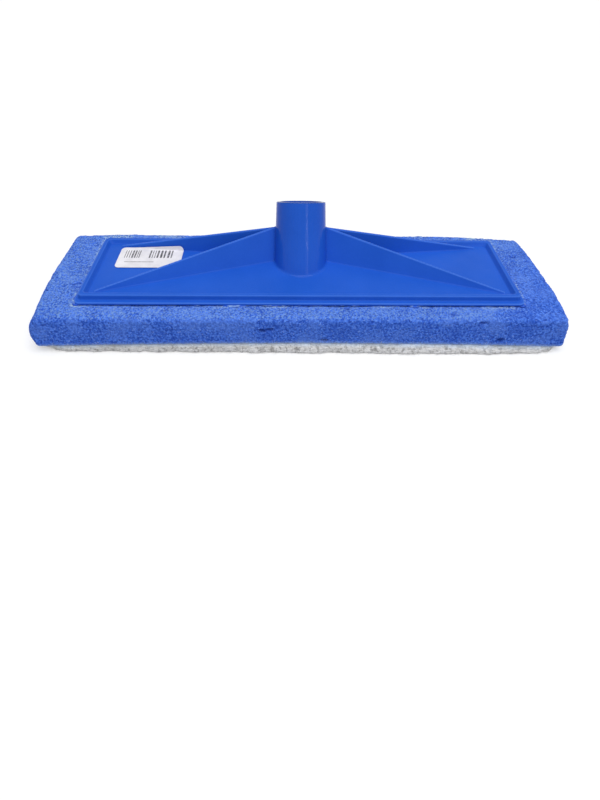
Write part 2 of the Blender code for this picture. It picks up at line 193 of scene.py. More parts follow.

# Changes to the plain blocks, in millimetres: centre, reach along each axis, and push
SPONGE_PUSHES = (
    ((-143, -42, 11), (26, 30, 10), (-1.9, 0.0, 0.0)),
    ((143, -42, 9), (26, 30, 12), (2.2, 0.0, 0.0)),
    ((144, -42, 17), (10, 20, 4), (0.5, 0.0, 0.0)),
    ((144, -42, 6), (16, 20, 4), (1.3, 0.0, 0.0)),
    ((-143, -36, 24), (14, 44, 7), (2.2, 0.0, 0.0)),
    ((-143, -33, 24), (14, 20, 7), (0.6, 0.0, 0.0)),
    ((143, -15, 22), (14, 32, 14), (0.7, 0.0, 0.0)),
    ((-10, 42, 22), (132, 14, 12), (0.0, 1.3, 1.1)),
    ((85, 42, 22), (45, 14, 12), (0.0, 0.7, 0.75)),
    ((-112, 42, 22), (30, 14, 12), (0.0, 0.4, 0.4)),
    ((143, 42, 23), (26, 20, 8), (0.0, 0.0, -0.8)),
)
PAD_PUSHES = (
    ((-142, -43, 0), (20, 12, 7), (4.0, 1.2, 0.0)),
    ((-142, -43, 6), (20, 14, 6), (-2.4, 0.0, 0.0)),
    ((142, -43, 6), (20, 14, 6), (2.2, 0.0, 0.0)),
    ((60, -42, 0), (120, 8, 6), (0.0, -1.9, 0.0)),
    ((98, -42, 0), (40, 8, 6), (0.0, -1.0, 0.0)),
    ((-50, -42, 0), (80, 8, 6), (0.0, -0.7, 0.0)),
)

# Points along each side of the repeating lattice that smooth noise is read from
LATTICE = 64

# Colours of the plastic, with a painted highlight for its ridges and painted shade for its creases and the
# socket's mouth
PLASTIC_BLUES = ((0.32, (0.0120, 0.094, 0.545)), (0.68, (0.0170, 0.110, 0.610)))
PLASTIC_GRAIN = (0.030, 0.150, 0.690)
RIDGE_PAINTED_HIGHLIGHT = (0.105, 0.275, 0.860)
CREASE_PAINTED_SHADE = (0.003, 0.034, 0.320)
MOUTH_PAINTED_SHADE = (0.008, 0.040, 0.200)

# Colours of the sponge, with a painted sheen for its level top and painted shade in its pits
SPONGE_BLUES = ((0.34, (0.014, 0.056, 0.40)), (0.46, (0.036, 0.124, 0.64)), (0.58, (0.060, 0.182, 0.78)),
                (0.72, (0.135, 0.305, 0.92)))
PALE_SPECK = (0.26, 0.42, 0.95)
DARK_PATCH = (0.016, 0.066, 0.420)
LIGHT_PATCH = (0.115, 0.270, 0.930)
DARK_CLOUD = (0.022, 0.085, 0.520)
LIGHT_CLOUD = (0.120, 0.255, 0.820)
TOP_PAINTED_SHEEN = (0.240, 0.410, 0.660)
PIT_SHADE = (0.006, 0.030, 0.26)
SEAM_FIBRE = (0.48, 0.68, 1.00)
GLUE_SMEAR = (0.46, 0.62, 0.66)

# Where the painted sheen on the sponge's top grows thin, on the way to the near right corner, and what is
# left there
SHEEN_SLANT = 0.5
SHEEN_THINS = (0.110, 0.138)
SHEEN_LEFT = 0.15

# Colours of the pad, its loose fibres, the glue and the film
PAD_WHITES = ((0.45, (0.50, 0.50, 0.49)), (0.60, (0.82, 0.82, 0.83)), (0.70, (1.0, 1.0, 1.0)))
CLUMP_SHADE = (0.24, 0.23, 0.23)
PAD_CLOUD = (0.66, 0.66, 0.68)
PAD_AT_SEAM = (0.68, 0.82, 1.00)
PAD_FOOT_PAINTED_SHADE = (0.24, 0.23, 0.22)
FIBRE_WHITES = ((0.35, (0.60, 0.60, 0.60)), (0.70, (0.88, 0.90, 0.92)))
GLUE_COLOURS = ((0.50, (0.012, 0.085, 0.56)), (0.78, (0.34, 0.52, 0.72)))
FILM_COLOURS = ((0.35, (0.55, 0.68, 0.92)), (0.70, (0.75, 0.85, 1.00)))

# Turn and tilt of each direction that the pad's fibres lie in, and their marks to a metre along and across
FIBRE_DIRECTIONS = ((0.2, 0.3), (1.2, -0.5), (2.1, 0.6), (2.8, -0.2))
FIBRE_SCALE = (240.0, 2200.0, 2200.0)

# Label: left edge and width of each grey stripe in millimetres from its left end, and a thin rule
STRIPES = ((3.2, 0.5), (4.6, 0.4), (6.0, 0.5), (7.4, 0.9), (9.0, 0.8), (10.6, 0.4), (11.6, 0.5), (17.6, 1.0),
           (19.4, 0.4), (20.8, 0.5), (22.2, 1.0), (24.2, 1.1), (26.2, 0.9), (28.4, 1.1), (30.4, 0.8))
STRIPES_FROM_FAR_EDGE = (0.0032, 0.0112)
RULE_FROM_FAR_EDGE = (0.0152, 0.0157)
RULE_ENDS = (0.0045, 0.0215)
PAPER_WHITES = ((0.35, (0.73, 0.72, 0.77)), (0.70, (0.87, 0.86, 0.91)))
INK = (0.035, 0.035, 0.045)

# Sockets of the Mix node that hold its share, its two colours and its result
MIX_SHARE, MIX_FIRST, MIX_SECOND = 0, 6, 7
MIX_RESULT = 2


def placed(name, data):
    """A new object in the scene."""
    obj = bpy.data.objects.new(name, data)
    bpy.context.scene.collection.objects.link(obj)
    return obj


def camera():
    ahead = math.cos(CAMERA_PITCH)
    forward = Vector((math.sin(CAMERA_TURN) * ahead, math.cos(CAMERA_TURN) * ahead, -math.sin(CAMERA_PITCH)))
    level = forward.cross(Vector((0, 0, 1))).normalized()
    rise = level.cross(forward)
    right = math.cos(CAMERA_ROLL) * level + math.sin(CAMERA_ROLL) * rise
    up = math.cos(CAMERA_ROLL) * rise - math.sin(CAMERA_ROLL) * level
    data = bpy.data.cameras.new("camera")
    data.sensor_width = SENSOR
    data.lens = SENSOR * FOCAL_PIXELS / IMAGE_HEIGHT
    data.shift_y = (CENTRE_ROW - IMAGE_HEIGHT / 2) / IMAGE_HEIGHT
    data.clip_start = NEAREST_SEEN
    data.clip_end = FARTHEST_SEEN
    obj = placed("camera", data)
    turn = Matrix((right, up, -forward)).transposed().to_4x4()
    obj.matrix_world = Matrix.Translation(CAMERA_PLACE) @ turn
    bpy.context.scene.camera = obj


def node(tree, kind, inputs=None, **settings):
    """A shader node with its settings and inputs, where an input is a value or another node's socket."""
    made = tree.nodes.new(kind)
    for key, value in settings.items():
        setattr(made, key, value)
    for key, value in (inputs or {}).items():
        if isinstance(value, bpy.types.NodeSocket):
            tree.links.new(value, made.inputs[key])
        else:
            made.inputs[key].default_value = value
    return made


def calc(tree, operation, *values):
    return node(tree, "ShaderNodeMath", dict(enumerate(values)), operation=operation).outputs[0]


def new_material(name, **values):
    """A material with a Principled shader, whose plain values are set on the shader's own sockets."""
    material = bpy.data.materials.new(name)
    material.use_nodes = True
    shader = material.node_tree.nodes["Principled BSDF"]
    for key, value in values.items():
        shader.inputs[key.replace("_", " ")].default_value = value
    return material, material.node_tree, shader


def feed(tree, shader, **sockets):
    """Links each socket to the shader's input of that name."""
    for key, socket in sockets.items():
        tree.links.new(socket, shader.inputs[key.replace("_", " ")])


def object_place(tree):
    return node(tree, "ShaderNodeTexCoord").outputs["Object"]


def split(tree, vector):
    """The X, Y and Z of a vector."""
    return node(tree, "ShaderNodeSeparateXYZ", {0: vector}).outputs


def speckle(tree, place, size, detail=2.0, roughness=0.5):
    """Noise whose marks are about one size across, in metres."""
    made = node(tree, "ShaderNodeTexNoise", {"Vector": place, "Scale": 1.0 / size, "Detail": detail,
                                             "Roughness": roughness})
    return made.outputs["Fac"]


def marked(tree, name):
    """A value that the mesh keeps for each of its points."""
    return node(tree, "ShaderNodeAttribute", attribute_name=name).outputs["Fac"]


def ramp(tree, value, stops, interpolation="LINEAR"):
    """A colour ramp from (position, colour or grey) stops."""
    made = node(tree, "ShaderNodeValToRGB", {"Fac": value})
    made.color_ramp.interpolation = interpolation
    elements = made.color_ramp.elements
    while len(elements) < len(stops):
        elements.new(0.5)
    for element, (position, colour) in zip(elements, stops):
        element.position = position
        element.color = (*colour, 1.0) if isinstance(colour, tuple) else (colour, colour, colour, 1.0)
    return made.outputs["Color"]


def mixed(tree, share, first, second):
    """Two colours mixed by a share."""
    made = node(tree, "ShaderNodeMix", data_type="RGBA")
    for index, value in ((MIX_SHARE, share), (MIX_FIRST, first), (MIX_SECOND, second)):
        if isinstance(value, bpy.types.NodeSocket):
            tree.links.new(value, made.inputs[index])
        else:
            made.inputs[index].default_value = (*value, 1.0)
    return made.outputs[MIX_RESULT]


def tinted(tree, colour, value, fade, tint):
    """The colour with a tint mixed in, whose share follows a value by two (value, share) stops."""
    return mixed(tree, ramp(tree, value, fade), colour, tint)


def bumped(tree, *heights):
    """A chain of bumps from (height socket, strength, distance) triples."""
    normal = None
    for height, strength, distance in heights:
        inputs = {"Height": height, "Strength": strength, "Distance": distance}
        if normal is not None:
            inputs["Normal"] = normal
        normal = node(tree, "ShaderNodeBump", inputs).outputs["Normal"]
    return normal


def plastic_material():
    """Blue plastic: painted highlights on ridges, painted shade in creases and mouth, glossy on the socket
    alone.
    """
    material, tree, shader = new_material("moulded_blue_plastic", Specular_IOR_Level=0.10)
    place = object_place(tree)
    cloud = speckle(tree, place, 0.035, detail=3.0)
    grain = speckle(tree, place, 0.0011, detail=3.0)
    colour = ramp(tree, cloud, PLASTIC_BLUES)
    colour = tinted(tree, colour, grain, ((0.40, 0.0), (0.75, 0.12)), PLASTIC_GRAIN)
    # Painted highlight: ridges made paler where light catches their edges
    colour = tinted(tree, colour, marked(tree, "ridge"), ((0.05, 0.0), (0.85, 0.80)), RIDGE_PAINTED_HIGHLIGHT)
    # Painted shade: creases made darker where less light reaches
    colour = tinted(tree, colour, marked(tree, "crease"), ((0.05, 0.0), (1.0, 0.80)), CREASE_PAINTED_SHADE)
    # Painted shade: the socket's mouth made darker
    colour = tinted(tree, colour, marked(tree, "mouth"), ((0.0, 0.0), (1.0, 0.75)), MOUTH_PAINTED_SHADE)
    wear = speckle(tree, place, 0.008, detail=4.0)
    dull = ramp(tree, wear, ((0.3, 0.38), (0.7, 0.48)))
    polished = ramp(tree, wear, ((0.3, 0.10), (0.7, 0.15)))
    roughness = mixed(tree, marked(tree, "socket"), dull, polished)
    waves = speckle(tree, place, 0.012)
    feed(tree, shader, Base_Color=colour, Roughness=roughness,
         Normal=bumped(tree, (waves, 0.25, 0.0006), (grain, 0.18, 0.00008)))
    return material


def painted_sheen_share(tree, place, specks):
    """How much painted sheen lies on the sponge: on its level top, in specks, and less towards one corner."""
    upward = split(tree, node(tree, "ShaderNodeNewGeometry").outputs["Normal"])["Z"]
    axes = split(tree, place)
    to_corner = calc(tree, "SUBTRACT", axes["X"], calc(tree, "MULTIPLY", axes["Y"], SHEEN_SLANT))
    start, end = SHEEN_THINS
    thinner = node(tree, "ShaderNodeMapRange", {"Value": to_corner, "From Min": start, "From Max": end,
                                                "To Min": 1.0, "To Max": SHEEN_LEFT}).outputs[0]
    on_top = ramp(tree, upward, ((0.55, 0.0), (0.95, 1.0)))
    in_specks = ramp(tree, specks, ((0.40, 0.00), (0.66, 0.46)))
    return calc(tree, "MULTIPLY", calc(tree, "MULTIPLY", on_top, in_specks), thinner)


def sponge_material():
    """Blue sponge of fine cells in darker and lighter patches, with painted sheen, pits, white fibre and
    glue.
    """
    material, tree, shader = new_material("open_cell_sponge", Roughness=0.95, Specular_IOR_Level=0.15)
    place = object_place(tree)
    cells = speckle(tree, place, 0.0010, detail=1.5, roughness=0.6)
    specks = speckle(tree, place, 0.0008, detail=0.0)
    patches = speckle(tree, place, 0.0014, detail=1.0)
    broad = speckle(tree, place, 0.013, detail=3.0)
    colour = ramp(tree, cells, SPONGE_BLUES)
    colour = tinted(tree, colour, specks, ((0.66, 0.0), (0.80, 0.60)), PALE_SPECK)
    colour = tinted(tree, colour, patches, ((0.34, 0.60), (0.49, 0.0)), DARK_PATCH)
    colour = tinted(tree, colour, patches, ((0.52, 0.0), (0.68, 0.55)), LIGHT_PATCH)
    colour = tinted(tree, colour, broad, ((0.32, 0.40), (0.47, 0.0)), DARK_CLOUD)
    colour = tinted(tree, colour, broad, ((0.48, 0.0), (0.66, 0.40)), LIGHT_CLOUD)
    # Painted sheen: the level top made paler in specks, as light falls on it, thinning towards the near right
    # corner
    colour = mixed(tree, painted_sheen_share(tree, place, specks), colour, TOP_PAINTED_SHEEN)
    colour = tinted(tree, colour, marked(tree, "pit"), ((0.20, 0.0), (0.90, 0.85)), PIT_SHADE)
    fleck = ramp(tree, speckle(tree, place, 0.0012), ((0.36, 0.55), (0.62, 1.0)))
    colour = mixed(tree, calc(tree, "MULTIPLY", marked(tree, "seam"), fleck), colour, SEAM_FIBRE)
    smears = ramp(tree, speckle(tree, place, 0.0010), ((0.44, 0.0), (0.62, 0.75)))
    colour = mixed(tree, calc(tree, "MULTIPLY", marked(tree, "glue"), smears), colour, GLUE_SMEAR)
    feed(tree, shader, Base_Color=colour, Normal=bumped(tree, (cells, 0.7, 0.0007), (specks, 0.4, 0.0004)))
    return material


def fibre_pattern(tree, place):
    """Fine crossing fibres: noise stretched along several directions, and the strongest of them."""
    strongest = None
    for turn, tilt in FIBRE_DIRECTIONS:
        mapping = node(tree, "ShaderNodeMapping", {"Vector": place, "Rotation": (tilt, -tilt, turn),
                                                   "Scale": FIBRE_SCALE})
        strand = node(tree, "ShaderNodeTexNoise", {"Vector": mapping.outputs["Vector"], "Scale": 1.0,
                                                   "Detail": 2.0, "Distortion": 0.6}).outputs["Fac"]
        strongest = strand if strongest is None else calc(tree, "MAXIMUM", strongest, strand)
    return strongest


def pad_material():
    """White crossing fibres with grey clumps, bluish at the seam, and with painted shade at the foot."""
    material, tree, shader = new_material("white_scouring_fibre", Roughness=0.92, Sheen_Weight=0.2,
                                          Sheen_Roughness=0.5, Specular_IOR_Level=0.3)
    place = object_place(tree)
    fibres = fibre_pattern(tree, place)
    cloud = speckle(tree, place, 0.010, detail=4.0, roughness=0.6)
    clumps = speckle(tree, place, 0.0019)
    colour = ramp(tree, fibres, PAD_WHITES)
    colour = tinted(tree, colour, clumps, ((0.32, 0.80), (0.47, 0.0)), CLUMP_SHADE)
    colour = tinted(tree, colour, cloud, ((0.40, 0.0), (0.75, 0.35)), PAD_CLOUD)
    colour = tinted(tree, colour, marked(tree, "seam"), ((0.0, 0.0), (1.0, 0.90)), PAD_AT_SEAM)
    # Painted shade: the foot of the pad's edge made darker where little light reaches under it
    colour = tinted(tree, colour, marked(tree, "foot"), ((0.0, 0.0), (1.0, 0.60)), PAD_FOOT_PAINTED_SHADE)
    feed(tree, shader, Base_Color=colour,
         Normal=bumped(tree, (cloud, 0.5, 0.0012), (clumps, 0.7, 0.0007), (fibres, 0.9, 0.0005)))
    return material


def fibre_material():
    material, tree, shader = new_material("loose_white_fibre", Roughness=0.7, Specular_IOR_Level=0.4)
    shade = speckle(tree, object_place(tree), 0.004)
    feed(tree, shader, Base_Color=ramp(tree, shade, FIBRE_WHITES))
    return material


def glue_material():
    """Set glue: the plastic's blue where it is thin, and paler in patches."""
    material, tree, shader = new_material("set_glue", IOR=1.45, Specular_IOR_Level=0.25)
    cloud = speckle(tree, object_place(tree), 0.003, detail=3.0)
    feed(tree, shader, Base_Color=ramp(tree, cloud, GLUE_COLOURS),
         Roughness=ramp(tree, cloud, ((0.3, 0.18), (0.7, 0.40))), Normal=bumped(tree, (cloud, 0.6, 0.0004)))
    return material


def film_material():
    material, tree, shader = new_material("laminating_film", Roughness=0.55)
    cloud = speckle(tree, object_place(tree), 0.006)
    feed(tree, shader, Base_Color=ramp(tree, cloud, FILM_COLOURS))
    return material


def between(tree, value, ends):
    """1 where the value lies between two ends, and 0 elsewhere."""
    start, end = ends
    after, before = calc(tree, "GREATER_THAN", value, start), calc(tree, "LESS_THAN", value, end)
    return calc(tree, "MULTIPLY", after, before)


def paper_material():
    """White label paper, with plain grey stripes and a thin rule in place of the printed code and words."""
    material, tree, shader = new_material("label_paper", Roughness=0.45)
    place = object_place(tree)
    low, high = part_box("price_label")
    length = high.x - low.x
    axes = split(tree, place)
    across = calc(tree, "DIVIDE", calc(tree, "SUBTRACT", axes["X"], low.x), length)
    down = calc(tree, "SUBTRACT", high.y, axes["Y"])
    stops = [(0.0, 0.0)]
    for start, width in STRIPES:
        stops += [(start * MM / length, 1.0), ((start + width) * MM / length, 0.0)]
    stripes = ramp(tree, across, stops, "CONSTANT")
    ink = calc(tree, "MULTIPLY", stripes, between(tree, down, STRIPES_FROM_FAR_EDGE))
    rule_ends = [end / length for end in RULE_ENDS]
    rule = calc(tree, "MULTIPLY", between(tree, down, RULE_FROM_FAR_EDGE), between(tree, across, rule_ends))
    worn = ramp(tree, speckle(tree, place, 0.0010, detail=3.0), ((0.30, 0.60), (0.60, 1.0)))
    share = calc(tree, "MULTIPLY", calc(tree, "MAXIMUM", ink, rule), worn)
    cloud = speckle(tree, place, 0.006, detail=4.0)
    grain = speckle(tree, place, 0.0006)
    feed(tree, shader, Base_Color=mixed(tree, share, ramp(tree, cloud, PAPER_WHITES), INK),
         Normal=bumped(tree, (cloud, 0.3, 0.0003), (grain, 0.3, 0.00005)))
    return material


def add_piece(name, mesh, material, replaced=None):
    """A new piece of the object with its material, fixed to its one body, and hiding the CAD node it
    replaces.
    """
    obj = placed(name, mesh)
    mesh.materials.clear()
    mesh.materials.append(material)
    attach(obj, "root")
    if replaced:
        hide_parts(replaced)
    return obj


def applied(work, keep_marks=False):
    """The mesh that a working object's modifiers make of it, after which the object is removed."""
    depsgraph = bpy.context.evaluated_depsgraph_get()
    mesh = bpy.data.meshes.new_from_object(work.evaluated_get(depsgraph), preserve_all_data_layers=keep_marks,
                                           depsgraph=depsgraph)
    bpy.data.objects.remove(work)
    mesh.shade_smooth()
    return mesh


def remeshed(cad_name, voxel, smooth_steps=1):
    """A CAD node's form as an even skin of small faces, with its edges eased by smoothing."""
    work = placed("work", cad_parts[cad_name].data.copy())
    remesh = work.modifiers.new("skin", "REMESH")
    remesh.mode = "VOXEL"
    remesh.voxel_size = voxel
    remesh.adaptivity = 0.0
    work.modifiers.new("ease", "SMOOTH").iterations = smooth_steps
    return applied(work)


def thinned(mesh, kept):
    """The same form with fewer faces, mostly taken from where it is flat."""
    work = placed("work", mesh)
    work.modifiers.new("thin", "DECIMATE").ratio = kept
    return applied(work, keep_marks=True)


def main_body(mesh):
    """The mesh without the tiny loose bits that remeshing can leave."""
    bm = bmesh.new()
    bm.from_mesh(mesh)
    unseen = set(bm.verts)
    bodies = []
    while unseen:
        body = {unseen.pop()}
        border = list(body)
        while border:
            v = border.pop()
            fresh = {edge.other_vert(v) for edge in v.link_edges} - body
            body |= fresh
            border += fresh
        unseen -= body
        bodies.append(body)
    bodies.sort(key=len)
    bmesh.ops.delete(bm, geom=[v for body in bodies[:-1] for v in body], context="VERTS")
    bm.to_mesh(mesh)
    bm.free()
    return mesh


def points_of(mesh):
    places = np.empty(len(mesh.vertices) * 3)
    mesh.vertices.foreach_get("co", places)
    return places.reshape(-1, 3)


def normals_of(mesh):
    normals = np.empty(len(mesh.vertices) * 3)
    mesh.vertices.foreach_get("normal", normals)
    return normals.reshape(-1, 3)


def set_points(mesh, places):
    mesh.vertices.foreach_set("co", places.ravel())
    mesh.update()


def mark(mesh, name, values):
    """Keeps a value for each point, which a material reads by the same name."""
    mesh.attributes.new(name, "FLOAT", "POINT").data.foreach_set("value", values)


def limited(values):
    return np.clip(values, 0.0, 1.0)


def step_up(value, start, end):
    """0 before start and 1 after end, with a smooth rise between them."""
    share = limited((value - start) / (end - start))
    return share * share * (3 - 2 * share)


def noise_at(places, size, seed):
    """Smooth noise from -1 to 1 at each place, between random values that lie one size apart."""
    table = np.random.default_rng(seed).uniform(-1.0, 1.0, (LATTICE,) * 3)
    spots = np.asarray(places) / size
    cells = np.floor(spots).astype(int)
    share = step_up(spots - cells, 0.0, 1.0)
    total = np.zeros(len(spots))
    for corner in np.ndindex(2, 2, 2):
        weight = np.where(corner, share, 1.0 - share).prod(axis=1)
        total += weight * table[tuple(((cells + corner) % LATTICE).T)]
    return total


def waves_at(places, layers):
    """Layers of noise added up, each from its height, size and seed."""
    return sum(height * noise_at(places, size, seed) for height, size, seed in layers)


def push(places, pushes):
    """Moves the points near each centre, most at the centre and not at all past its reach."""
    for centre, reach, move in pushes:
        away = (((places - np.array(centre) * MM) / (np.array(reach) * MM)) ** 2).sum(axis=1)
        places += np.outer(limited(1 - away) ** 2, np.array(move) * MM)


def seam_height(x):
    return SEAM_MIDDLE - SEAM_DROP * (x / HALF_LENGTH) ** 2


def leaning(angle):
    """The direction that leans from upright towards the far side by an angle."""
    return (0.0, math.sin(angle), math.cos(angle))


def head():
    """The moulding, with its creases, ridges and mouth marked for the painted shade and highlights of its
    material.
    """
    mesh = remeshed("plastic_head", PLASTIC_VOXEL)
    form = remeshed("plastic_head", PLASTIC_VOXEL, FORM_STEPS)
    places = points_of(mesh)
    sunk = ((points_of(form) - places) * normals_of(mesh)).sum(axis=1) / FULL_CREASE
    bpy.data.meshes.remove(form)
    from_axis = np.linalg.norm(np.cross(places - SOCKET_MOUTH, leaning(SOCKET_LEAN)), axis=1)
    on_socket = 1 - step_up(from_axis, *SOCKET_REACH)
    # Creases get painted shade in the material
    mark(mesh, "crease", limited(sunk))
    mark(mesh, "socket", on_socket)
    # Ridges off the socket get a painted highlight in the material
    mark(mesh, "ridge", limited(-sunk) * (1 - on_socket))
    # The mouth mark places painted shade round the socket's mouth
    mark(mesh, "mouth", step_up((places - SOCKET_MOUTH) @ leaning(SOCKET_MOUTH_TILT), *MOUTH_REACH))
    mesh = main_body(thinned(mesh, PLASTIC_KEPT))
    add_piece("moulded_head", mesh, plastic_material(), "plastic_head")


def pit_depths(places, count, seed, radii, depths, stretch):
    """How deep each point lies in scattered torn pits, which may be longer along the head."""
    rng = np.random.default_rng(seed)
    order = np.argsort(places[:, 0])
    along = places[order, 0]
    sunk = np.zeros(len(places))
    for centre in places[rng.choice(len(places), count, replace=False)]:
        radius, deep = rng.uniform(*radii), rng.uniform(*depths)
        first, last = np.searchsorted(along, (centre[0] - radius * stretch, centre[0] + radius * stretch))
        near = order[first:last]
        away = (((places[near] - centre) / (radius * stretch, radius, radius)) ** 2).sum(axis=1)
        sunk[near] = np.maximum(sunk[near], deep * limited(1 - away) ** PIT_WALL)
    return sunk


def outside_head(places):
    """How far each point lies outside the head's box, seen from above."""
    low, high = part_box("plastic_head")
    return np.maximum.reduce((low.x - places[:, 0], places[:, 0] - high.x, low.y - places[:, 1],
                              places[:, 1] - high.y))


def sponge():
    """The sponge: arched underneath, full at its lower corners, with an open-cell grain and torn pits."""
    mesh = remeshed("foam_sponge", SPONGE_VOXEL)
    places, normals = points_of(mesh), normals_of(mesh)
    low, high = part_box("foam_sponge")
    height = (places[:, 2] - low.z) / (high.z - low.z)
    push(places, SPONGE_PUSHES)
    outside = outside_head(places)
    places[:, 2] += SPONGE_CROWN * step_up(outside, *CROWN_RISE) * height
    places[:, 2] += (seam_height(places[:, 0]) + SEAM_HALF_GAP - low.z) * (1 - height)
    pits = np.maximum(pit_depths(places, **SMALL_PITS), pit_depths(places, **LONG_PITS))
    free = np.maximum(step_up(outside, *ROUGH_OUTSIDE), 1 - step_up(height, *SMOOTH_TOP))
    rise = (waves_at(places, SPONGE_GRAIN) - pits) * free * step_up(height, *ROUGH_OFF_SEAM)
    places += normals * rise[:, None]
    set_points(mesh, places)
    above_seam = places[:, 2] - seam_height(places[:, 0])
    near_head = step_up(height, *SMEAR_NEAR_TOP) * (1 - step_up(outside, *SMEAR_REACH))
    mark(mesh, "pit", pits / pits.max())
    mark(mesh, "seam", limited(1 - above_seam / SPONGE_FADE) ** 2)
    mark(mesh, "glue", near_head * step_up(noise_at(places, SMEAR_SIZE, SMEAR_SEED), *SMEAR_FADE))
    obj = add_piece("sponge_block", mesh, sponge_material(), "foam_sponge")


def lofted(bm, rings, closed=False):
    """Walls between rings of as many points each, whose last ring may join the first."""
    for lower, upper in zip(rings, rings[1:] + (rings[:1] if closed else [])):
        for i in range(len(lower)):
            following = (i + 1) % len(lower)
            bm.faces.new((lower[i], lower[following], upper[following], upper[i]))


def store(bm, mesh):
    """Puts a closed form in a mesh, with its faces turned outward."""
    bmesh.ops.recalc_face_normals(bm, faces=bm.faces)
    bm.to_mesh(mesh)
    bm.free()


def film():
    """The thin film between pad and sponge: a round-cornered sheet, bent to the seam."""
    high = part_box("pad_bonding_film")[1]
    straight_x, straight_y = high.x - FILM_CORNER, high.y - FILM_CORNER
    turns = [math.pi / 2 * step / FILM_CORNER_STEPS for step in range(1, FILM_CORNER_STEPS + 1)]
    end = [(straight_x + FILM_CORNER * math.sin(turn), straight_y + FILM_CORNER * math.cos(turn))
           for turn in turns]
    middle = [(x, high.y) for x in np.linspace(-straight_x, straight_x, FILM_STATIONS)]
    stations = [(-x, half_width) for x, half_width in reversed(end)] + middle + end
    corners = ((-1, -1), (1, -1), (1, 1), (-1, 1))
    bm = bmesh.new()
    rings = []
    for x, half_width in stations:
        ring = [(x, side * half_width, seam_height(x) + face * FILM_HALF_THICKNESS) for side, face in corners]
        rings.append([bm.verts.new(place) for place in ring])
    lofted(bm, rings)
    bm.faces.new(rings[0])
    bm.faces.new(rings[-1])
    mesh = bpy.data.meshes.new("bonding_film")
    store(bm, mesh)
    add_piece("bonding_film", mesh, film_material(), "pad_bonding_film")


def pad():
    """The scouring pad: a thick felt of fibre with wavy, torn edges."""
    mesh = remeshed("scouring_pad", PAD_VOXEL)
    places, normals = points_of(mesh), normals_of(mesh)
    low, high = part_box("scouring_pad")
    inward = np.minimum(high.x - np.abs(places[:, 0]), high.y - np.abs(places[:, 1]))
    edge = limited(1.0 - inward / TORN_EDGE)
    push(places, PAD_PUSHES)
    height = limited(places[:, 2] / high.z)
    foot = step_up(1 - height, FOOT_START, 1.0) * edge
    ragged = waves_at(places * TEAR_STRETCH, PAD_TEARS) + waves_at(places, PAD_FRAYS)
    outward = normals * (1, 1, 0)
    places += outward * (ragged * (TORN_ABOVE_FOOT + (1 - TORN_ABOVE_FOOT) * foot) * edge)[:, None]
    places += normals * waves_at(places, PAD_GRAIN)[:, None]
    places[:, 2] *= (seam_height(places[:, 0]) - SEAM_HALF_GAP) / high.z
    places[:, 2] = np.maximum(places[:, 2], low.z)
    set_points(mesh, places)
    mark(mesh, "seam", limited(1 - (seam_height(places[:, 0]) - places[:, 2]) / PAD_FADE))
    # The foot mark places painted shade along the bottom of the pad's edge
    mark(mesh, "foot", limited(1 - places[:, 2] / PAD_FOOT) * step_up(edge, *PAD_FOOT_EDGE))
    obj = add_piece("scouring_felt", mesh, pad_material(), "scouring_pad")
    return mesh


def fibre_tubes(middles, out, side):
    """A mesh of thin tapering tubes, each round its own line of middle points."""
    share = np.linspace(0.0, 1.0, FIBRE_SEGMENTS + 1)[None, :, None]
    angles = 2 * math.pi * np.arange(FIBRE_SIDES) / FIBRE_SIDES
    around = out[:, None] * np.cos(angles)[None, :, None] + side[:, None] * np.sin(angles)[None, :, None]
    rings = middles[:, :, None] + FIBRE_RADIUS * (1 - FIBRE_TAPER * share)[..., None] * around[:, None]
    number = np.arange(rings[..., 0].size).reshape(len(middles), FIBRE_SEGMENTS + 1, FIBRE_SIDES)
    following = np.roll(number, -1, axis=2)
    walls = np.stack((number[:, :-1], number[:, 1:], following[:, 1:], following[:, :-1]), axis=-1)
    ends = np.concatenate((number[:, 0], number[:, -1, ::-1]))
    mesh = bpy.data.meshes.new("loose_fibres")
    mesh.from_pydata(rings.reshape(-1, 3).tolist(), [], walls.reshape(-1, 4).tolist() + ends.tolist())
    mesh.shade_smooth()
    return mesh


def fringe(felt):
    """Loose curved fibres on the pad's sides and working face, and more that stand up at the seam."""
    rng = np.random.default_rng(FIBRE_SEED)
    places, normals = points_of(felt), normals_of(felt)
    seam = seam_height(places[:, 0])
    steep = np.abs(normals[:, 2]) < SIDE_STEEPNESS
    at_side = np.where(steep & (places[:, 2] < seam - SIDE_BELOW_SEAM))[0]
    at_face = np.where(normals[:, 2] < -FACE_FLATNESS)[0]
    at_seam = np.where(steep & (places[:, 2] > seam - SEAM_BAND))[0]
    roots = np.concatenate((rng.choice(at_side, SIDE_FIBRES), rng.choice(at_face, FACE_FIBRES),
                            rng.choice(at_seam, SEAM_FIBRES)))
    count = len(roots)
    out = normals[roots]
    lie = np.cross(out, rng.normal(size=(count, 3)))
    lie[-SEAM_FIBRES:] += out[-SEAM_FIBRES:] * SEAM_FIBRES_OUT + np.array((0.0, 0.0, SEAM_FIBRES_UP))
    lie /= np.linalg.norm(lie, axis=1)[:, None]
    side = np.cross(out, lie)
    bend = side * rng.uniform(*FIBRE_SWAY, (count, 1)) + out * rng.uniform(*FIBRE_LIFT, (count, 1))
    length = rng.uniform(*FIBRE_LENGTHS, (count, 1))
    share = np.linspace(0.0, 1.0, FIBRE_SEGMENTS + 1)[None, :, None]
    line = lie[:, None] * share + 0.5 * bend[:, None] * share ** 2
    middles = places[roots][:, None] + length[:, None] * line
    middles[..., 2] = np.maximum(middles[..., 2], FIBRE_RADIUS)
    add_piece("loose_fibres", fibre_tubes(middles, out, side), fibre_material())


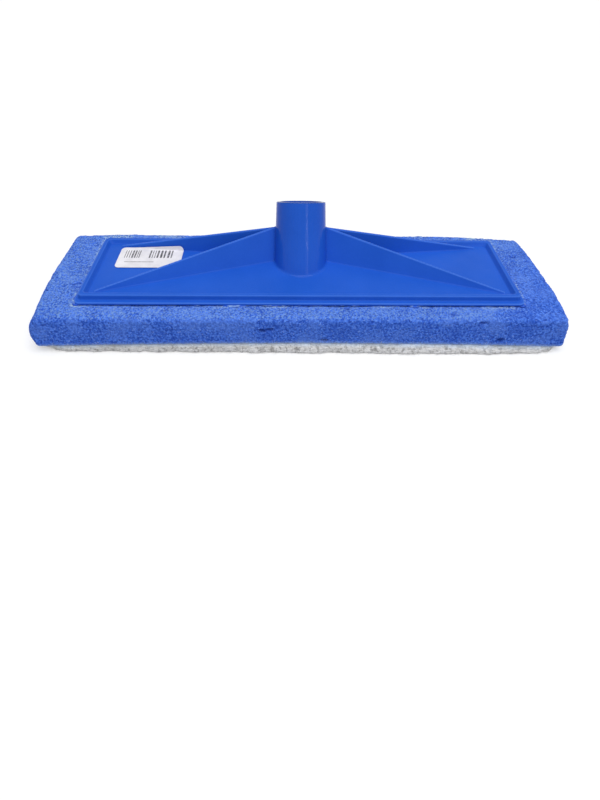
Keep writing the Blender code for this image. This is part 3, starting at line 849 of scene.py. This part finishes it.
def glue_line():
    """Points about a millimetre apart just inside the glue's outline, each with its outward direction."""
    low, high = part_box("head_glue")
    centre = (low + high) / 2
    half_x, half_y = (high.x - low.x) / 2 - GLUE_CORNER, (high.y - low.y) / 2 - GLUE_CORNER
    radius = GLUE_CORNER - GLUE_LINE_INSET
    steps = max(2, int(radius * math.pi / 2 / GLUE_SPACING))
    stations = []
    for quarter, (sx, sy) in enumerate(((1, 1), (-1, 1), (-1, -1), (1, -1))):
        for step in range(steps + 1):
            angle = math.pi / 2 * (quarter + step / steps)
            out = Vector((math.cos(angle), math.sin(angle), 0))
            place = Vector((centre.x + sx * half_x, centre.y + sy * half_y, 0)) + out * radius
            stations.append((place, out))
        run = 2 * (half_x if quarter % 2 == 0 else half_y)
        turned = math.pi / 2 * (quarter + 1)
        out = Vector((math.cos(turned), math.sin(turned), 0))
        along = Vector((-out.y, out.x, 0))
        pieces = int(run / GLUE_SPACING)
        for _ in range(1, pieces):
            stations.append((stations[-1][0] + along * run / pieces, out))
    return stations


def glue():
    """The glue under the flange, with an uneven bead squeezed out round it."""
    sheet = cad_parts["head_glue"].data.copy()
    top = Vector((0, 0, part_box("head_glue")[1].z))
    bm = bmesh.new()
    bm.from_mesh(sheet)
    for v in bm.verts:
        v.co.x -= math.copysign(GLUE_SHEET_INSET, v.co.x)
        v.co.y -= math.copysign(GLUE_SHEET_INSET, v.co.y)
    stations = glue_line()
    lumps = waves_at([place for place, _ in stations], BEAD_LUMPS)
    angles = [2 * math.pi * corner / BEAD_SIDES for corner in range(BEAD_SIDES)]
    rings = []
    for (place, out), lump in zip(stations, lumps):
        corner_share = max(0.0, -out.y) * abs(out.x) * 2
        wide = BEAD_LEAST + BEAD_LUMP * max(0.0, lump - LUMP_START) + BEAD_AT_CORNER * corner_share
        tall = BEAD_SLOPE * wide + BEAD_BASE
        middle = place + out * wide * 0.5 + top
        ring = [middle + out * wide * math.cos(angle) + Vector((0, 0, tall * math.sin(angle)))
                for angle in angles]
        rings.append([bm.verts.new(spot) for spot in ring])
    lofted(bm, rings, closed=True)
    store(bm, sheet)
    sheet.shade_smooth()
    add_piece("glue_bead", sheet, glue_material(), "head_glue")


def label():
    """The label's own CAD form, with a printed paper finish."""
    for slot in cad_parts["price_label"].material_slots:
        slot.link = "OBJECT"
        slot.material = paper_material()


def seen_directly(tree):
    """1 for what the camera sees, also in a reflection or through glass, and 0 for light on the object."""
    path = node(tree, "ShaderNodeLightPath").outputs
    either = calc(tree, "MAXIMUM", path["Is Camera Ray"], path["Is Glossy Ray"])
    return calc(tree, "MAXIMUM", either, path["Is Transmission Ray"])


def floor():
    """A pale floor that takes the object's shadow and looks white elsewhere."""
    corners = [(sx * FLOOR_HALF, sy * FLOOR_HALF, 0) for sx, sy in ((-1, -1), (1, -1), (1, 1), (-1, 1))]
    data = bpy.data.meshes.new("floor")
    data.from_pydata(corners, [], [(0, 1, 2, 3)])
    material = bpy.data.materials.new("pale_floor")
    material.use_nodes = True
    tree = material.node_tree
    tree.nodes.clear()
    matte = node(tree, "ShaderNodeBsdfDiffuse", {"Color": FLOOR_COLOUR})
    lift = calc(tree, "MULTIPLY", seen_directly(tree), FLOOR_LIFT)
    glow = node(tree, "ShaderNodeEmission", {"Color": WHITE, "Strength": lift})
    total = node(tree, "ShaderNodeAddShader", {0: matte.outputs[0], 1: glow.outputs[0]})
    node(tree, "ShaderNodeOutputMaterial", {"Surface": total.outputs[0]})
    data.materials.append(material)
    placed("floor", data)


def add_lamp(name, kind, place, target, **settings):
    data = bpy.data.lights.new(name, kind)
    for key, value in settings.items():
        setattr(data, key, value)
    obj = placed(name, data)
    obj.location = place
    obj.rotation_euler = (Vector(target) - Vector(place)).to_track_quat("-Z", "Y").to_euler()


def lights():
    """The surround, which looks white where it is seen, and the lamps."""
    world = bpy.data.worlds.new("surround")
    bpy.context.scene.world = world
    world.use_nodes = True
    tree = world.node_tree
    tree.nodes.clear()
    strength = node(tree, "ShaderNodeMapRange", {"Value": seen_directly(tree), "To Min": WORLD_LIGHT,
                                                 "To Max": 1.0}).outputs[0]
    back = node(tree, "ShaderNodeBackground", {"Color": WHITE, "Strength": strength})
    node(tree, "ShaderNodeOutputWorld", {"Surface": back.outputs[0]})
    add_lamp("sun", "SUN", SUN_FROM, SUN_TARGET, energy=SUN_LIGHT * math.pi, angle=SUN_SPREAD)
    add_lamp("spot", "AREA", SPOT_PLACE, SPOT_TARGET, size=SPOT_SIZE, energy=SPOT_WATTS)
    add_lamp("strip", "AREA", STRIP_PLACE, STRIP_TARGET, shape="RECTANGLE", size=STRIP_WIDTH,
             size_y=STRIP_HEIGHT, energy=STRIP_WATTS)


bpy.context.scene.view_settings.view_transform = "Standard"
camera()
lights()
floor()
head()
sponge()
film()
fringe(pad())
glue()
label()
